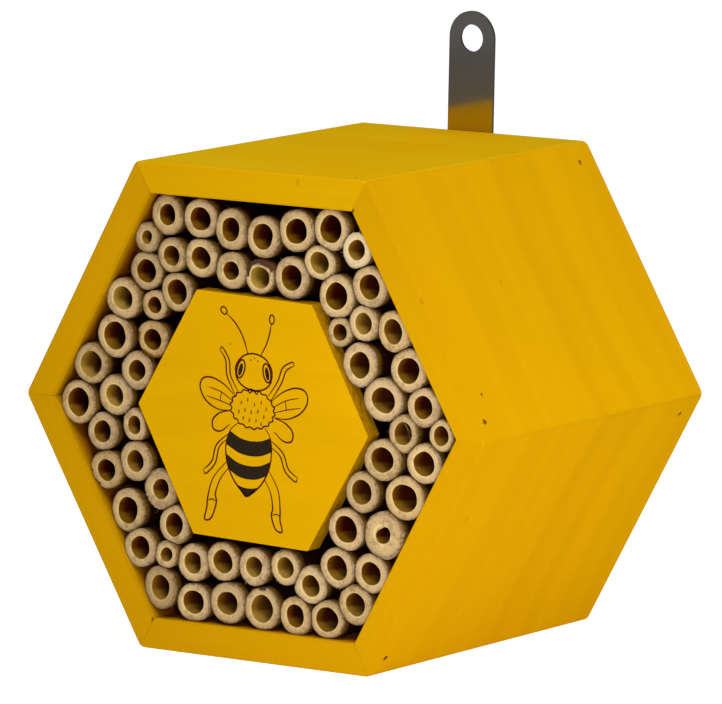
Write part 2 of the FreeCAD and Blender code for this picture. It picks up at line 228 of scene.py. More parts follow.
def paint_material(name, facing, seams=None, tone=(1.0, 1.0, 1.0), ends=(1.0, 1.0), front=FRONT_TONE,
                   rear=1.0, ink_wear_and_edge_shade=0.0, lip_shade=0.0, inner_shade=(0.8, 6.5), streaks=0.5, haze=0.0, marks=()):
    """Golden satin paint over pine. The grain runs along the board and shows through faintly."""
    g = Graph(name)
    at = g.place(MIDDLE, radians(facing - 90))
    across, deep, out = g.split(at)
    sway = g.noise(g.stretch(at, (9, 5, 5)), 1.0, 1.0)
    phase = g.times_plus(sway, 0.034, deep)
    rings = g.node("CombineXYZ", {0: g.times(across, 0.02), 1: phase, 2: out})
    bands = g.noise(rings, 75.0, 1.0, 0.6)
    lines = g.noise(rings, 250.0, 2.0, 0.6)
    cloud = g.noise(g.stretch(at, (1, 1.6, 1.6)), 17.0, 3.0, 0.55)
    streak = g.noise(g.stretch(at, (1, 9, 9)), 14.0, 3.0, 0.6)
    pattern = g.times_plus(bands, 0.7, g.times(lines, 0.26))
    pattern = g.times_plus(cloud, 0.3, pattern)
    pattern = g.times_plus(streak, streaks * 0.4, pattern)
    dark, light = [(*[v * t for v, t in zip(c, tone)], 1) for c in (PAINT_DARK, PAINT_LIGHT)]
    colour = g.mix(g.remap(pattern, 0.47, 1.05), dark, light)
    # painted reflection of the sky: a greenish veil on the outer face, as strong as haze
    if haze:
        sky_reflection = g.remap(g.noise(g.stretch(at, (1, 1.5, 1.5)), 15.0, 2.0, 0.5), 0.28, 0.74, 0.15, haze)
        sky_reflection = g.times(sky_reflection, g.remap(deep, FRONT + 0.5 * MM, FRONT + 2.0 * MM))
        colour = g.mix(sky_reflection, colour, PAINT_OLIVE)
    # painted light and shade: lighter or darker towards each end of the board
    level = g.remap(across, -0.5 * APOTHEM, 0.5 * APOTHEM, *ends, False)
    colour = g.mix(1.0, colour, g.node("CombineColor", {0: level, 1: level, 2: 1.0}), "MULTIPLY")
    # painted light: the front faces lighter, and the outer face lighter or darker towards the back
    at_front = g.mix(1.0, colour, (front, front, 1, 1), "MULTIPLY")
    at_back = g.mix(1.0, colour, (rear, rear, 1, 1), "MULTIPLY")
    colour = g.mix(g.remap(deep, FRONT, -FRONT, 0.0, 1.0, False), colour, at_back)
    colour = g.mix(g.remap(deep, FRONT + 0.2 * MM, FRONT + 0.9 * MM), at_front, colour)
    specks = g.remap(g.noise(at, 1500.0, 1.0), 0.745, 0.80, 0.0, 0.5)
    colour = g.mix(specks, colour, SEAM)
    skin = g.bump(g.noise(g.stretch(at, (1, 3, 3)), 700.0, 3.0, 0.6), 0.00006, 0.5)
    normal = g.bump(g.times_plus(lines, 0.3, bands), 0.00035, 0.5, skin)
    if seams:
        edge = g.maths("ABSOLUTE", g.times_plus(out, -MITRE, g.maths("ABSOLUTE", across)))
        shown = g.remap(across, -BOARD, BOARD, *seams)
        seam = g.times(g.remap(edge, 0.06 * MM, 0.28 * MM, 1.0, 0.0), shown)
        broken = g.remap(g.noise(at, 260.0, 2.0), 0.40, 0.58, 0.25, 1.0)
        colour = g.mix(g.times(seam, broken), colour, SEAM)
        # painted shade on the inner face, darker further into the frame
        inner = g.remap(out, APOTHEM - BOARD + 0.05 * MM, APOTHEM - BOARD + 0.3 * MM, 1.0, 0.0)
        inner_shade_share = g.remap(deep, FRONT + inner_shade[0] * MM, FRONT + inner_shade[1] * MM, 0.0, 0.97)
        colour = g.mix(g.times(inner, inner_shade_share), colour, PAINT_INNER_SHADE)
        # painted shade over the rounded inner and outer front edges, which catch the light
        lip = g.maths("MAXIMUM", g.maths("SUBTRACT", deep, FRONT), g.maths("SUBTRACT", out, APOTHEM - BOARD))
        colour = g.mix(g.remap(lip, 0.3 * MM, 1.2 * MM, lip_shade, 0.0), colour, PAINT_EDGE_SHADE)
        rim = g.maths("MAXIMUM", g.maths("SUBTRACT", deep, FRONT), g.maths("SUBTRACT", APOTHEM, out))
        colour = g.mix(g.remap(rim, 0.2 * MM, 1.0 * MM, ink_wear_and_edge_shade, 0.0), colour, PAINT_EDGE_SHADE)
        normal = g.bump(g.times(seam, -1.0), 0.0002, 0.6, normal)
    ragged = g.times_plus(g.noise(at, 750.0, 2.0, 0.6), 2.6 * MM, -1.3 * MM)
    whole = g.node("TexCoord", {}).outputs["Object"]
    for x, y, z, size, strength in marks:
        spot = Vector((x * MM, FRONT + y * MM, z * MM)) + MIDDLE
        away = g.node("VectorMath", {0: whole, 1: spot}, operation="DISTANCE").outputs["Value"]
        away = g.maths("ADD", away, ragged)
        pit = g.remap(away, 0.45 * size * MM, 1.1 * size * MM, strength, 0.0)
        colour = g.mix(pit, colour, PIT)
        normal = g.bump(g.times(pit, -1.0), 0.0003, 0.8, normal)
    rough = g.remap(cloud, 0.3, 0.7, 0.42, 0.58)
    return g.finish(colour=colour, rough=rough, normal=normal, specular=0.0, metal=PAINT_SATIN,
                    tint=PAINT_TINT)


def plate_material():
    """The centre plate: paint on the front, rough sawn edges where the brown wood shows through."""
    material = paint_material("plate_paint", 90, tone=(1.11, 1.15, 1.0), marks=PLATE_MARKS)
    g = Graph("plate_paint", material)
    front = g.maths("ABSOLUTE", g.split(g.node("NewGeometry", {}).outputs["Normal"])[1])
    sides = g.remap(front, 0.35, 0.8, 1.0, 0.0)
    at = g.place(MIDDLE)
    fibres = g.noise(g.stretch(at, (1, 4.0, 1)), 420.0, 4.0, 0.7)
    bare = g.ramp(fibres, (0.30, (0.28, 0.105, 0.001)), (0.5, (0.47, 0.22, 0.002)),
                  (0.68, (0.62, 0.31, 0.003)))
    rough_sides = g.bump(g.times(fibres, sides), 0.0006, 0.9, g.fed("Normal"))
    return g.finish(colour=g.mix(sides, g.fed("Base Color"), bare), normal=rough_sides)


def direction(turn):
    """A unit vector in the XZ plane, turned so many degrees from +X towards +Z."""
    return Vector((cos(radians(turn)), 0, sin(radians(turn))))


def brad_marks(name, facing):
    """The torn dents round the brads of one board, bigger at the front."""
    marks = []
    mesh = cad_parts["frame_brads"].data
    outward = direction(facing)
    heads = [v.co for v in mesh.vertices if abs((v.co - MIDDLE).dot(outward) - APOTHEM) < 1.5 * MM]
    while heads:
        near = [p for p in heads if (p - heads[0]).length < BRAD_REACH]
        heads = [p for p in heads if (p - heads[0]).length >= BRAD_REACH]
        spot = sum(near, Vector()) / len(near) - MIDDLE
        spot += outward * (APOTHEM - spot.dot(outward))
        deep = (spot.y - FRONT) / MM
        size = DENT_SIZES[0] if spot.y < 0 else DENT_SIZES[1]
        marks.append((spot.x / MM, deep, spot.z / MM, size, DENT_FILLED if name == "board_top" else DENT))
    return marks + list(BOARD_MARKS.get(name, ()))


def cover(node, material):
    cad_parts[node].data.materials[0] = material


def finish_boards():
    for name, board in BOARDS.items():
        cover(name, paint_material(name + "_paint", marks=brad_marks(name, board["facing"]), **board))
    cover("centre_plate", plate_material())
    cover("back_panel", paint_material("panel_paint", 0))


# ---- bamboo ----
SKIN, CUT, BORE = range(3)
SEGMENTS = 72
GROWTH = 0.30 * MM       # real canes fill the gaps that the round CAD ones leave
CONTACT = 0.02 * MM
NEIGHBOURS = 25 * MM     # canes further away than this don't touch
SQUEEZE = 24             # how sharply a cane flattens where it meets something
BORE_LIGHT_LEVEL = 0.47      # painted light, with some pale dust, on the floor of each bore, up to this far below its middle, in radii
BORE_LIGHT_FALL = 0.10       # and lower further in
BORE_LIGHT_TURN = radians(12)
BORE_DEPTHS = (0.7, 1.2, 1.8, 2.5, 3.2, 4, 5, 6, 7.5, 9, 13, 18, 26, 38, 55, 80)      # rings down a bore, mm
CANE_SEED = 4100
CANE_NODES = sorted(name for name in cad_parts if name.startswith("cane_"))


def wall_facts(node):
    """The canes in a CAD node: the middle, radii and depths of each, read from its own mesh."""
    mesh = bmesh.new()
    mesh.from_mesh(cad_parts[node].data)
    bmesh.ops.remove_doubles(mesh, verts=mesh.verts, dist=1e-6)
    left = set(mesh.verts)
    facts = []
    while left:
        island, edge = set(), [min(left, key=lambda v: v.index)]
        while edge:
            vertex = edge.pop()
            if vertex in island:
                continue
            island.add(vertex)
            edge += [e.other_vert(vertex) for e in vertex.link_edges]
        left -= island
        points = [v.co for v in island]
        low = [min(p[k] for p in points) for k in range(3)]
        high = [max(p[k] for p in points) for k in range(3)]
        x, z = (low[0] + high[0]) / 2, (low[2] + high[2]) / 2
        radii = [(hypot(p.x - x, p.z - z), p.y) for p in points]
        bore = min(r for r, y in radii if y < low[1] + 0.05 * MM)
        wall = max(y for r, y in radii if abs(r - bore) < 0.05 * MM)
        facts.append(dict(x=x, z=z, outer=(high[0] - low[0]) / 2, bore=bore,
                          front=low[1], wall=wall, back=high[1]))
    mesh.free()
    return facts


def tube_mesh(rings, closed_start, closed_end):
    """Vertices and faces of a tube through rings of points, closed by a middle point at each end."""
    vertices = [p for ring in rings for p in ring]
    count = len(rings[0])
    faces = []
    for r in range(len(rings) - 1):
        for k in range(count):
            a, b = r * count + k, r * count + (k + 1) % count
            faces.append((a, b, b + count, a + count))
    for point, first, flip in ((closed_start, 0, True), (closed_end, (len(rings) - 1) * count, False)):
        middle = len(vertices)
        vertices.append(point)
        for k in range(count):
            a, b = first + k, first + (k + 1) % count
            faces.append((b, a, middle) if flip else (a, b, middle))
    return vertices, faces


def walls_round(fact, facts):
    """(distance, direction) of everything the cane may not grow into: neighbours, boards and plate."""
    here = Vector((fact["x"], 0, fact["z"]))
    planes = []
    for other in facts:
        gap = Vector((other["x"], 0, other["z"])) - here
        if other is not fact and gap.length < NEIGHBOURS:
            reach = (gap.length + fact["outer"] - other["outer"]) / 2
            planes.append((reach, atan2(gap.z, gap.x)))
    low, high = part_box("centre_plate")
    from_plate = here - Vector(((low.x + high.x) / 2, 0, (low.z + high.z) / 2))
    plate_apothem = (high.x - low.x) / 2 * cos(radians(30))
    for facing in FACINGS:
        planes.append((APOTHEM - BOARD - (here - MIDDLE).dot(direction(facing)), radians(facing)))
    facing = max(FACINGS, key=lambda f: from_plate.dot(direction(f)))
    planes.append((from_plate.dot(direction(facing)) - plate_apothem, radians(facing + 180)))
    return planes


def cane_parts(fact, facts, dice, look):
    """One cane: rings of points from the back along the skin, over the cut end and down the bore."""
    outer, bore = fact["outer"] + GROWTH, fact["bore"]
    phases = [dice.uniform(0, 2 * pi) for _ in range(8)]
    oval = look.get("oval", dice.uniform(0.0, 0.03))
    oval_turn = radians(look.get("turn", dice.uniform(0, 180)))
    bore_oval = oval + dice.uniform(0.0, 0.03)
    shift = dice.uniform(0.02, 0.08) * (outer - bore)
    shift_turn = dice.uniform(0, 2 * pi)
    if "shift" in look:
        shift, shift_turn = look["shift"][0] * MM, radians(look["shift"][1])
    tilt = radians(dice.uniform(0.2, 1.8))
    tilt_turn = dice.uniform(0, 2 * pi)
    seed = dice.uniform(0, 90)
    planes = walls_round(fact, facts)

    def bumps(angle, kind):
        """Where the cane bulges or is dented: direction in degrees, amount and width in degrees."""
        total = 0.0
        for towards, amount, width in look.get(kind, ()):
            off = (degrees(angle) - towards + 180) % 360 - 180
            total += amount * exp(-(off / width) ** 2)
        return total

    def outline(angle):
        shape = 1 + oval * cos(2 * (angle - oval_turn)) + bumps(angle, "bulges")
        shape += 0.009 * cos(3 * angle + phases[0]) + 0.006 * cos(4 * angle + phases[1])
        shape += 0.004 * cos(7 * angle + phases[2])
        reach = (outer * shape) ** -SQUEEZE
        for distance, facing in planes:
            side = cos(angle - facing)
            if side > 0.3:
                reach += ((distance - CONTACT) / side) ** -SQUEEZE
        return reach ** (-1 / SQUEEZE)

    def hollow(angle):
        shape = 1 + bore_oval * cos(2 * (angle - oval_turn) + 0.4)
        shape += 0.014 * cos(3 * angle + phases[3]) + 0.010 * cos(4 * angle + phases[4])
        shape += 0.006 * cos(6 * angle + phases[5]) + bumps(angle, "dents")
        return bore * shape

    angles = [2 * pi * k / SEGMENTS for k in range(SEGMENTS)]
    wides, narrows = [outline(a) for a in angles], [hollow(a) for a in angles]

    def scar(k, share):
        """1 where the end is torn off below the cut: between two directions, outside a share of the wall."""
        if "torn" not in look:
            return 0.0
        start, end, inside = look["torn"]
        off = (degrees(angles[k]) - start) % 360
        width = (end - start) % 360
        return float(off < width and share > inside + 0.12 * sin(4 * angles[k]))

    def crack(k, share):
        low = -sin(angles[k]) > 0.1
        return 0.35 * MM * look.get("cracks", 0.0) * float(k % 3 == 0 and share > 0.3 and low)

    def point(k, share, inset, depth, rough=0.0):
        """share 1 is the skin and 0 the bore; inset moves it inwards and depth moves it back."""
        radius = narrows[k] + (wides[k] - narrows[k]) * share - inset
        if share == 0 and 0.3 * MM < depth < 1.3 * MM:
            radius *= 1 - bumps(angles[k], "lip")
        if share > 0.2 and depth < 1.2 * MM:
            depth += scar(k, share) * 0.7 * MM + crack(k, share)
        middle = (1 - share) * shift
        x = cos(angles[k]) * radius + middle * cos(shift_turn)
        z = sin(angles[k]) * radius + middle * sin(shift_turn)
        lean = (x * cos(tilt_turn) + z * sin(tilt_turn)) * tan(tilt)
        lean *= exp(-depth / (4 * MM))
        spot = Vector((x, z, seed * MM))
        grit = (noise.noise(spot * 800) + 0.6 * noise.noise(spot * 2400)) * rough
        if share > 0.9 and depth < 1.2 * MM:
            x, z = x * (1 + 0.6 * grit / outer), z * (1 + 0.6 * grit / outer)
        return Vector((fact["x"] + x, fact["front"] + depth + lean + grit, fact["z"] + z))

    length = fact["back"] - fact["front"]
    wall = fact["wall"] - fact["front"]
    fuzz = look.get("fuzz", 1.0)
    # share, inset, depth and roughness of the surface (mm), kind of face
    steps = [(1, 0, length * part / MM, 0, SKIN) for part in (1.0, 0.5, 0.25, 0.14, 0.08)]
    steps += [(1, 0, depth, 0, SKIN) for depth in (5.0, 3.2, 2.0, 1.2)]
    steps += [
        (1, 0, 0.85, 0.08, SKIN), (0.985, 0, 0.46, 0.13 * fuzz, CUT), (0.95, 0, 0.24, 0.13 * fuzz, CUT),
        (0.88, 0, 0.11, 0.11 * fuzz, CUT), (0.78, 0, 0.04, 0.08, CUT), (0.62, 0, 0.01, 0.07, CUT),
        (0.45, 0, 0, 0.06, CUT), (0.30, 0, 0.01, 0.05, CUT), (0.16, 0, 0.02, 0.05, CUT),
        (0.07, 0, 0.05, 0.04, CUT), (0.02, 0, 0.14, 0.02, CUT), (0, 0, 0.34, 0, BORE),
    ]
    steps += [(0, 0, depth, 0, BORE) for depth in BORE_DEPTHS if depth * MM < wall - 1.5 * MM]
    steps += [(0, 0.05, wall / MM - 0.6, 0, BORE), (0, 0.7, wall / MM, 0, BORE)]
    rings, materials, rows = [], [], []
    for number, (share, inset, depth, rough, kind) in enumerate(steps):
        rings.append([point(k, share, inset * MM, depth * MM, rough * MM) for k in range(SEGMENTS)])
        for k, angle in enumerate(angles):
            # how far each point lies inside the painted light on the bore's floor
            level = -bore / MM * (sin(angle + BORE_LIGHT_TURN) + BORE_LIGHT_LEVEL) - BORE_LIGHT_FALL * depth
            rows.append((share, depth, level, scar(k, share) if kind != BORE else 0.0))
        if number:
            before = steps[number - 1][4]
            materials += [before if kind == BORE else kind] * SEGMENTS
    rows += [(1, length / MM, -9, 0), (0, wall / MM, -9, 0)]
    facts_of = dict(zip(("rim", "depth", "litter", "scar"), zip(*rows)))
    back = Vector((fact["x"], fact["back"], fact["z"]))
    end = Vector((fact["x"], fact["front"] + wall + 0.1 * MM, fact["z"]))
    vertices, faces = tube_mesh(rings, back, end)
    materials += [SKIN] * SEGMENTS + [BORE] * SEGMENTS
    rim = rings[[step[0] for step in steps].index(0.95)]
    return vertices, faces, materials, facts_of, rim


def fibre(start, direction, length, thick, dice, bend=0.5):
    """A loose strand of bamboo: a thin tube that tapers and curls."""
    steps = 6
    side = direction.orthogonal().normalized()
    other = direction.cross(side).normalized()
    curl = side * dice.uniform(-bend, bend) + other * dice.uniform(-bend, bend)
    rings = []
    for k in range(steps):
        t = k / (steps - 1)
        middle = start + direction * length * t + curl * length * t * t
        radius = thick * (1 - 0.75 * t)
        rings.append([middle + (side * cos(a) + other * sin(a)) * radius
                      for a in (0, 2 * pi / 3, 4 * pi / 3)])
    tip = start + direction * length * 1.02 + curl * length * 1.04
    return tube_mesh(rings, start - direction * thick, tip)


def new_piece(name, vertices, faces, materials, indices=None, smooth_faces=True):
    mesh = bpy.data.meshes.new(name)
    mesh.from_pydata([tuple(v) for v in vertices], [], faces)
    for material in materials:
        mesh.materials.append(material)
    if indices:
        mesh.polygons.foreach_set("material_index", indices)
    mesh.polygons.foreach_set("use_smooth", [smooth_faces] * len(mesh.polygons))
    shell = bmesh.new()
    shell.from_mesh(mesh)
    bmesh.ops.recalc_face_normals(shell, faces=shell.faces)
    shell.to_mesh(mesh)
    shell.free()
    mesh.update()
    piece = bpy.data.objects.new(name, mesh)
    bpy.context.scene.collection.objects.link(piece)
    return piece


def set_values(piece, name, values):
    data = piece.data.attributes.new(name, "FLOAT", "POINT")
    data.data.foreach_set("value", values)


def cut_material():
    """The sawn end: pale ring at the bore, fine dots of fibre bundles, dull brown fuzz at the rim."""
    g = Graph("bamboo_cut_end")
    rim, tone, hue, scarred = g.values("rim", "tone", "hue", "scar")
    pink, golden = g.maths("MAXIMUM", hue, 0.0), g.maths("MAXIMUM", g.times(hue, -1.0), 0.0)
    at = g.place()
    blotch = g.noise(at, 420.0, 3.0, 0.6)
    near = g.times_plus(g.maths("SUBTRACT", blotch, 0.5), g.remap(rim, 0.3, 0.9, 0.12, 0.55), rim)
    colour = g.ramp(near, (0.0, (0.60, 0.43, 0.15)), (0.05, (0.82, 0.63, 0.29)), (0.13, (0.76, 0.57, 0.27)),
                    (0.22, (0.62, 0.43, 0.195)), (0.52, (0.59, 0.40, 0.180)), (0.76, (0.45, 0.29, 0.122)),
                    (0.90, (0.27, 0.155, 0.064)), (1.0, (0.11, 0.055, 0.018)))
    colour = g.mix(pink, colour, (0.54, 0.36, 0.21, 1))
    colour = g.mix(g.times(golden, 0.6), colour, (0.52, 0.30, 0.070, 1))
    dots = g.node("TexVoronoi", {0: at, "Scale": 1700.0}).outputs["Distance"]
    dots = g.remap(dots, 0.12, 0.42, 1.0, 0.0)
    dots = g.times(dots, g.remap(rim, 0.1, 0.8, 0.2, 0.7))
    colour = g.mix(dots, colour, (0.27, 0.15, 0.060, 1))
    ring = g.times_plus(g.maths("SUBTRACT", blotch, 0.5), 0.10, g.maths("SUBTRACT", rim, 0.84))
    ring = g.remap(g.maths("ABSOLUTE", ring), 0.02, 0.07, 0.85, 0.0)
    ring = g.times(ring, g.remap(g.noise(at, 230.0, 1.0), 0.42, 0.56))
    colour = g.mix(ring, colour, (0.13, 0.070, 0.026, 1))
    grain = g.remap(g.noise(at, 1100.0, 2.0, 0.7), 0.38, 0.62, 0.0, 0.45)
    grain = g.times(grain, g.remap(rim, 0.7, 1.0, 1.0, 0.6))
    colour = g.mix(grain, colour, (0.66, 0.48, 0.25, 1))
    ash = g.remap(g.noise(at, 650.0, 2.0, 0.6), 0.50, 0.62, 0.0, 0.5)
    ash = g.times(ash, g.remap(rim, 0.45, 0.85))
    colour = g.mix(ash, colour, (0.50, 0.38, 0.29, 1))
    soil = g.remap(g.noise(at, 300.0, 3.0, 0.7), 0.48, 0.68, 0.0, 0.55)
    colour = g.mix(soil, colour, (0.25, 0.15, 0.062, 1))
    # darker with the tone, partly the cane's own colour and partly painted shade
    colour = g.mix(g.times(g.maths("MAXIMUM", tone, 0.0), 0.85), colour, (0.17, 0.098, 0.032, 1))
    fresh = g.mix(g.times(tone, -1.0), colour, (0.80, 0.66, 0.40, 1))
    colour = g.mix(g.remap(tone, -0.02, 0.0, 1.0, 0.0, False), colour, fresh)
    torn = g.mix(golden, (0.085, 0.040, 0.022, 1), (0.30, 0.115, 0.012, 1))
    colour = g.mix(scarred, colour, torn)
    height = g.maths("ADD", g.noise(at, 2200.0, 3.0, 0.65), g.times(dots, -0.8))
    normal = g.bump(height, 0.00022, 0.9)
    return g.finish(colour=colour, rough=0.85, normal=normal, specular=0.0)


def skin_material():
    """The outside of a cane: long olive and tan streaks, browner with the tone, and painted shade, nearly
    black a few mm behind the cut end where the light doesn't reach.
    """
    g = Graph("bamboo_skin")
    tone, depth = g.values("tone", "depth")
    at = g.place()
    streak = g.noise(g.stretch(at, (1, 0.05, 1)), 900.0, 3.0, 0.65)
    patch = g.noise(g.stretch(at, (1, 0.35, 1)), 120.0, 3.0, 0.6)
    colour = g.ramp(streak, (0.25, (0.12, 0.052, 0.006)), (0.55, (0.24, 0.125, 0.018)),
                    (0.8, (0.36, 0.22, 0.050)))
    colour = g.mix(g.remap(patch, 0.42, 0.7, 0.0, 0.6), colour, (0.15, 0.075, 0.010, 1))
    # darker with the tone, partly the cane's own colour and partly painted shade
    colour = g.mix(g.times(tone, 0.7), colour, (0.11, 0.055, 0.012, 1))
    # painted shade: nearly black a few mm behind the cut end
    colour = g.mix(g.remap(depth, 0.9, 4.2, 0.0, 0.97), colour, (0.016, 0.0016, 0.001, 1))
    normal = g.bump(streak, 0.0002, 0.6)
    rough = g.remap(patch, 0.3, 0.7, 0.5, 0.7)
    return g.finish(colour=colour, rough=rough, normal=normal, specular=0.0)


def bore_material():
    """Inside a cane: brown at the mouth, with painted shade darker further in and painted light with some
    pale dust on the floor.
    """
    g = Graph("bamboo_bore")
    tone, depth, litter = g.values("bore_tone", "depth", "litter")
    at = g.place()
    streak = g.noise(g.stretch(at, (1, 0.12, 1)), 620.0, 3.0, 0.6)
    uneven = g.maths("SUBTRACT", g.noise(at, 420.0, 2.0), 0.5)
    litter = g.times_plus(uneven, 0.9, litter)
    deep = g.times_plus(uneven, 1.0, depth)
    wall = g.ramp(streak, (0.25, (0.12, 0.030, 0.0005)), (0.6, (0.20, 0.060, 0.0012)),
                  (0.85, (0.28, 0.105, 0.004)))
    # painted shade: the wall goes nearly black further in
    dark = g.mix(g.remap(deep, 0.5, 4.6, 0.0, 0.98), wall, (0.042, 0.0014, 0.0008, 1))
    # painted light on the floor of the bore, darker further in
    floor_lit = g.ramp(streak, (0.2, (0.16, 0.058, 0.0008)), (0.8, (0.29, 0.135, 0.005)))
    floor_lit = g.mix(g.remap(deep, 2.0, 8.5, 0.0, 0.95), floor_lit, (0.085, 0.014, 0.001, 1))
    lit = g.remap(litter, -0.5, 0.6)
    brown = g.mix(lit, dark, floor_lit)
    # the pale bores: painted shade further in, and painted light on the floor
    inside = g.mix(tone, (0.13, 0.013, 0.001, 1), (0.21, 0.090, 0.003, 1))
    mouth = g.mix(tone, (0.42, 0.17, 0.006, 1), (0.47, 0.31, 0.042, 1))
    pale = g.mix(g.remap(deep, 0.8, 6.5, 0.0, 0.9), mouth, inside)
    floor = g.mix(g.remap(deep, 3.0, 9.0, 0.0, 0.6), (0.53, 0.33, 0.055, 1), (0.24, 0.12, 0.008, 1))
    pale = g.mix(lit, pale, floor)
    crumbs = g.remap(g.noise(at, 1500.0, 2.0, 0.6), 0.58, 0.68, 0.0, 0.8)
    crumbs = g.times(crumbs, g.remap(litter, 0.0, 1.0, 0.0, 1.0))
    crumbs = g.times(crumbs, g.remap(tone, 0.25, 0.8))
    colour = g.mix(crumbs, g.mix(tone, brown, pale), (0.56, 0.40, 0.15, 1))
    normal = g.bump(streak, 0.0002, 0.5)
    return g.finish(colour=colour, rough=0.7, normal=normal, specular=0.0)


# How the canes differ. tone: the cut end and skin, from -1 fresh and pale to 1 dark; bore:
# 0 dark to 1 pale; hue: the cut end, from -1 golden to 1 pink; oval and turn: how far out of round, and
# the direction of the long axis from +X towards +Z; shift: how far the bore is off centre (mm), and which
# way; bulges, dents and lip: of the outline, the bore and its mouth: direction, amount, width; torn:
# between two directions and outside a share of the wall; fuzz: how ragged the saw left the rim; cracks: in
# the lower half of the wall; across: strands that span the bore between two directions.
# tone is partly each cane's own colour and partly painted shade, darker for canes that get less light
LOOKS = {
    1: dict(bore=0.05, oval=0.05, turn=90), 2: dict(bore=0.05, oval=0.02, turn=0),
    3: dict(tone=0.25, bore=0, oval=0.05, turn=90, fuzz=1.6), 4: dict(bore=0.1, oval=0.04, turn=85),
    5: dict(bore=0, fuzz=1.4), 6: dict(bore=0, fuzz=1.4),
    7: dict(tone=-0.45, bore=0.45, oval=0.03, turn=60, fuzz=3.0, bulges=((-110, 0.06, 25),)),
    8: dict(bore=0.15), 9: dict(bore=0.3, hue=-0.5, oval=0.06, turn=112, fuzz=1.5, shift=(0.35, 160)),
    10: dict(bore=0.12, bulges=((-75, 0.05, 30),)), 11: dict(tone=0.1, bore=0.05),
    12: dict(bore=0.25, oval=0.06, turn=95, dents=((0, 0.06, 60),)), 13: dict(bore=0.2),
    14: dict(bore=0.15, hue=-0.6),
    15: dict(tone=0, bore=0, hue=-0.1, fuzz=1.3, lip=((120, 0.24, 42),), shift=(0.35, 150)),
    16: dict(bore=0.15), 17: dict(tone=0.15, bore=0.3, fuzz=1.6), 18: dict(bore=0.15, oval=0.03, turn=20),
    19: dict(bore=0.05, hue=-0.5),
    20: dict(tone=0.15, bore=0.6, hue=0, torn=(75, 105, 0.55), bulges=((90, 0.03, 30),),
             dents=((-90, 0.05, 50),)),
    21: dict(bore=0.3), 22: dict(bore=0.25), 23: dict(tone=0.5, bore=0.35, oval=0.06, turn=100, fuzz=2.2),
    24: dict(tone=0.2, bore=0.1), 25: dict(tone=0.2, bore=0.05, oval=0.05, turn=90),
    26: dict(tone=0.3, bore=0, hue=-0.6, torn=(185, 240, 0.72)), 27: dict(bore=0.15),
    28: dict(tone=0.15, bore=0.12), 29: dict(tone=0.35, bore=0.75, hue=-0.2, fuzz=2.6),
    30: dict(tone=0.1, bore=0.12), 31: dict(tone=0.1, bore=0.85), 32: dict(tone=0.35, bore=0, fuzz=1.5),
    33: dict(tone=0.35, bore=0.35, hue=0, oval=0.03, turn=80, fuzz=2.5,
             bulges=((45, 0.05, 20), (135, 0.05, 20))),
    34: dict(tone=0.2, bore=0.25), 35: dict(bore=0.15), 36: dict(bore=0.05),
    37: dict(tone=0, bore=1.0, hue=0, fuzz=2.0, torn=(25, 185, 0.3), shift=(0.4, -80)),
    38: dict(bore=0.05, fuzz=1.8),
    39: dict(tone=-0.1, bore=0.65, oval=0.05, turn=160, fuzz=1.5, bulges=((-42, 0.17, 24), (-95, -0.05, 25))),
    40: dict(bore=0.08, fuzz=1.6), 41: dict(tone=0, bore=0.75), 42: dict(tone=0.2, bore=0.1),
    43: dict(tone=-0.05, bore=0.2, oval=0.04, turn=90), 44: dict(tone=0, bore=0.25, oval=0.05, turn=0),
    45: dict(bore=0.3, oval=0.05, turn=80, fuzz=1.5, bulges=((-72, 0.1, 28),), across=((84, -38), (98, -12))),
    46: dict(bore=0.15, oval=0.04, turn=10), 47: dict(bore=0.25), 48: dict(bore=0.05), 49: dict(bore=0.2),
    50: dict(tone=-0.1, bore=0.4, fuzz=3.0, bulges=((200, 0.13, 30), (95, 0.06, 25))),
    51: dict(tone=0, bore=0.65, fuzz=1.5), 52: dict(tone=0, bore=0.6, fuzz=1.5), 53: dict(bore=0.25),
    54: dict(tone=0, bore=0.45, dents=((5, -0.12, 25),)),
    55: dict(tone=0.1, bore=0.35, hue=-0.1, bulges=((135, 0.05, 25), (-45, 0.05, 25))),
    56: dict(bore=0.1, oval=0.04, turn=90), 57: dict(bore=0.15, cracks=1.0), 58: dict(tone=0.25, bore=0.35),
    59: dict(bore=0.3, oval=0.08, turn=95), 60: dict(tone=0.1, bore=0.7), 61: dict(bore=0.2),
    62: dict(tone=0.25, bore=0, hue=-0.9, fuzz=1.8, torn=(160, 300, 0.62)),
    63: dict(tone=0.2, bore=0.05, hue=-0.6), 64: dict(tone=0.3, bore=0.1, fuzz=1.5),
}


def strands(fact, rim, look, dice):
    """The fuzz a saw leaves round the rim, and a few longer strands of torn fibre."""
    middle = Vector((fact["x"], fact["front"], fact["z"]))
    fuzz = look.get("fuzz", 1.0)
    for _ in range(int(44 * fuzz)):
        start = rim[dice.randrange(len(rim))] + Vector((0, 0.10 * MM, 0))
        radial = (start - middle).normalized()
        turned = Vector((-radial.z, 0, radial.x)) * dice.uniform(-1.3, 1.3)
        lean = radial * dice.uniform(0.2, 1.0) + turned + Vector((0, dice.uniform(-0.7, 0.1), 0))
        yield fibre(start, lean.normalized(), dice.uniform(0.18, 0.5) * MM,
                    dice.uniform(0.025, 0.05) * MM, dice)
    for start_turn, end_turn in look.get("across", ()):
        ends = [middle + (direction(t) + Vector((0, 0.25, 0))) * fact["bore"] for t in (start_turn, end_turn)]
        lean = ends[1] - ends[0]
        yield fibre(ends[0], lean.normalized(), lean.length * 0.96, 0.06 * MM, dice, 0.12)
    for _ in range(dice.randint(0, 2) + int(4 * (fuzz - 1))):
        start = rim[dice.randrange(len(rim))] + Vector((0, 0.12 * MM, 0))
        radial = (start - middle).normalized()
        stray = Vector((dice.uniform(-0.7, 0.7), dice.uniform(-0.9, 0.1), dice.uniform(-0.7, 0.7)))
        lean = radial * 0.7 + stray
        yield fibre(start, lean.normalized(), dice.uniform(0.6, 1.5) * MM,
                    dice.uniform(0.035, 0.06) * MM, dice)


